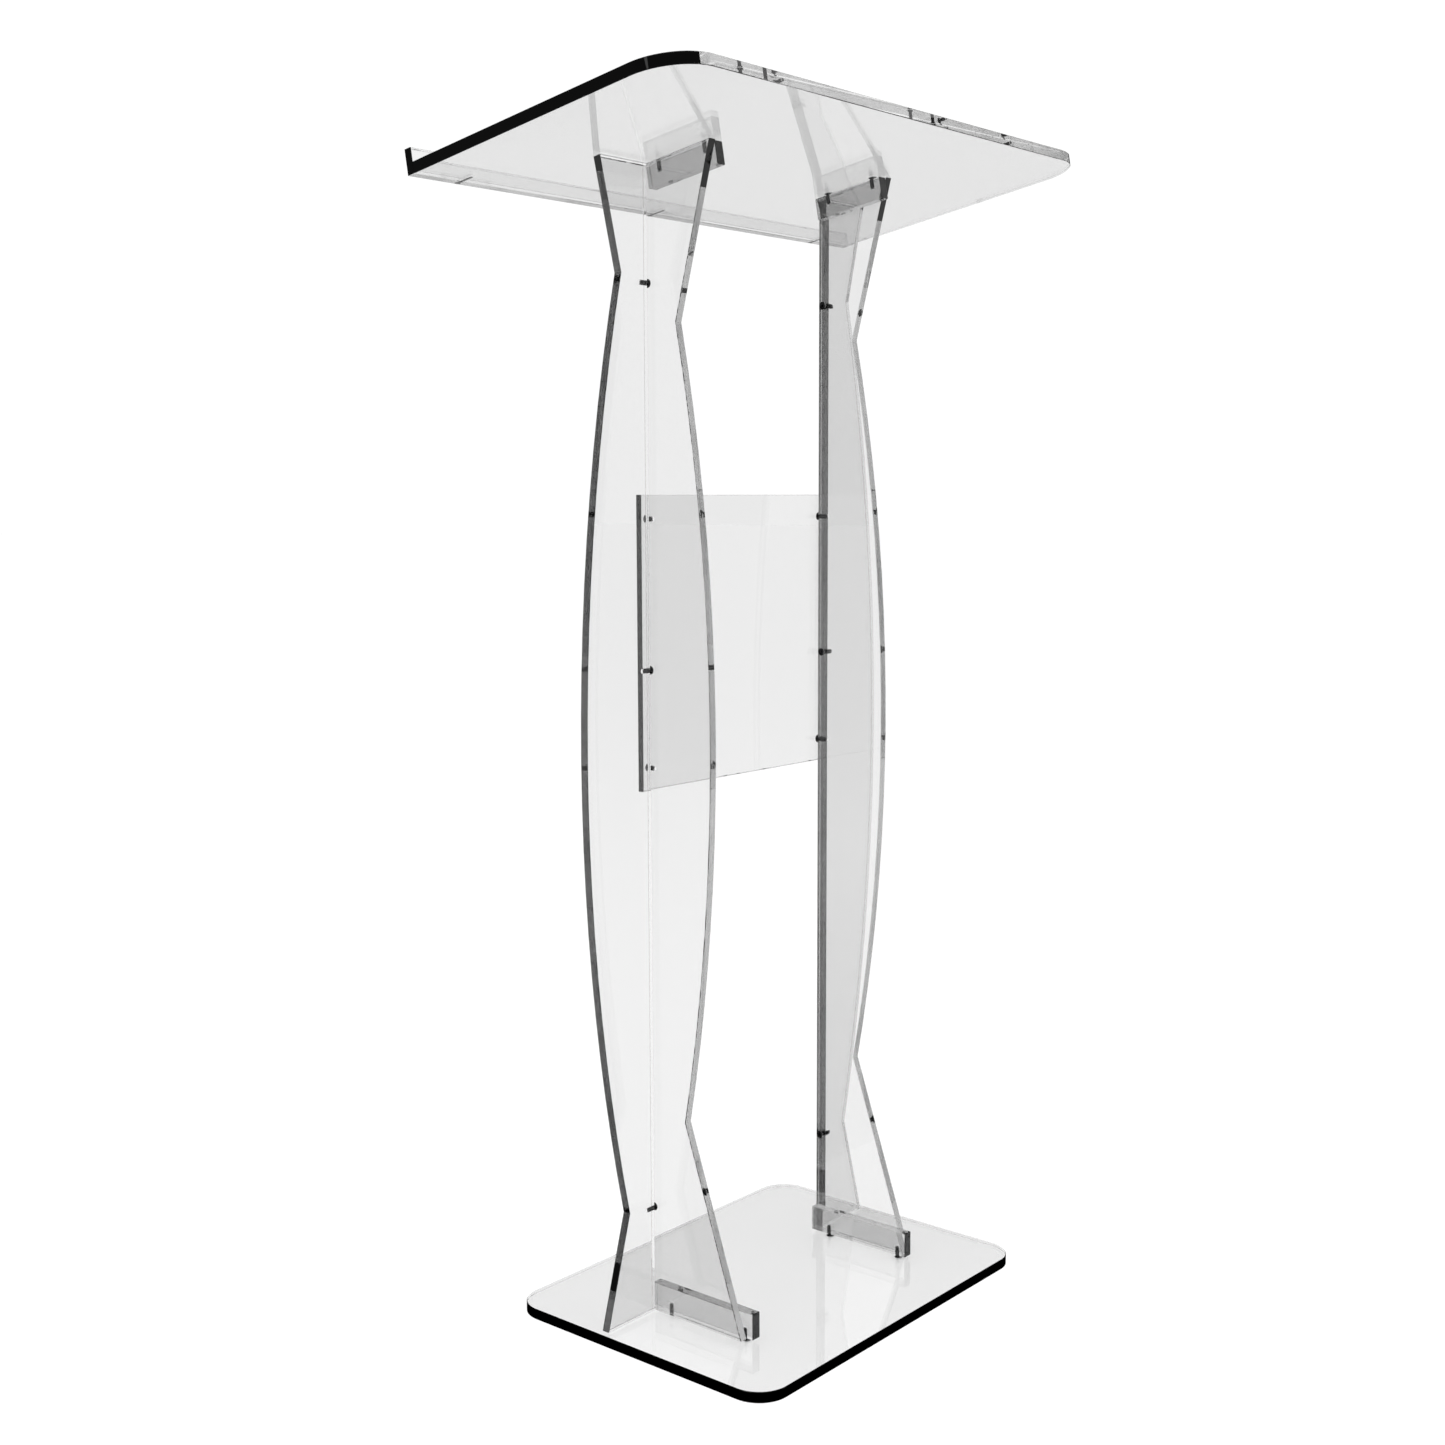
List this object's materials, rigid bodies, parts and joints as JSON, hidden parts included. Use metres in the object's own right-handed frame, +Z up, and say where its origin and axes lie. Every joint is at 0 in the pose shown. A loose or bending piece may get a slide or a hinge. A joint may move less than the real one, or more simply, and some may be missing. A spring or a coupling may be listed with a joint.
{
  "type": "presentation lectern",
  "caption": "Clear acrylic presentation lectern: a tilted reading top with a paper stop on two L-shaped curved legs, a modesty panel and a flat base plate.",
  "frame": {"origin": "on the floor, at the middle of the base plate's lower face", "axes": "+Z up, +X to the right as the audience sees the lectern, -Y towards the audience and +Y towards the speaker"},
  "size_m": [0.6, 0.3, 1.0769],
  "materials": {
    "clear_sheet": "clear cast acrylic sheet, polished faces and edges",
    "clear_bar": "clear extruded acrylic bar, sawn and polished",
    "dark_screw": "black oxide steel machine screw with a hexagon socket"
  },
  "bodies": {
    "root": {"base_plate": "clear_sheet", "reading_top": "clear_sheet", "paper_stop": "clear_sheet", "modesty_panel": "clear_sheet", "right_side_wing": "clear_sheet", "left_side_wing": "clear_sheet", "right_front_wing": "clear_sheet", "left_front_wing": "clear_sheet", "right_base_strip": "clear_bar", "left_base_strip": "clear_bar", "right_top_strip": "clear_bar", "left_top_strip": "clear_bar", "corner_screws": "dark_screw", "panel_screws": "dark_screw", "base_screws": "dark_screw", "top_screws": "dark_screw", "stop_screws": "dark_screw"}
  },
  "joints": []
}
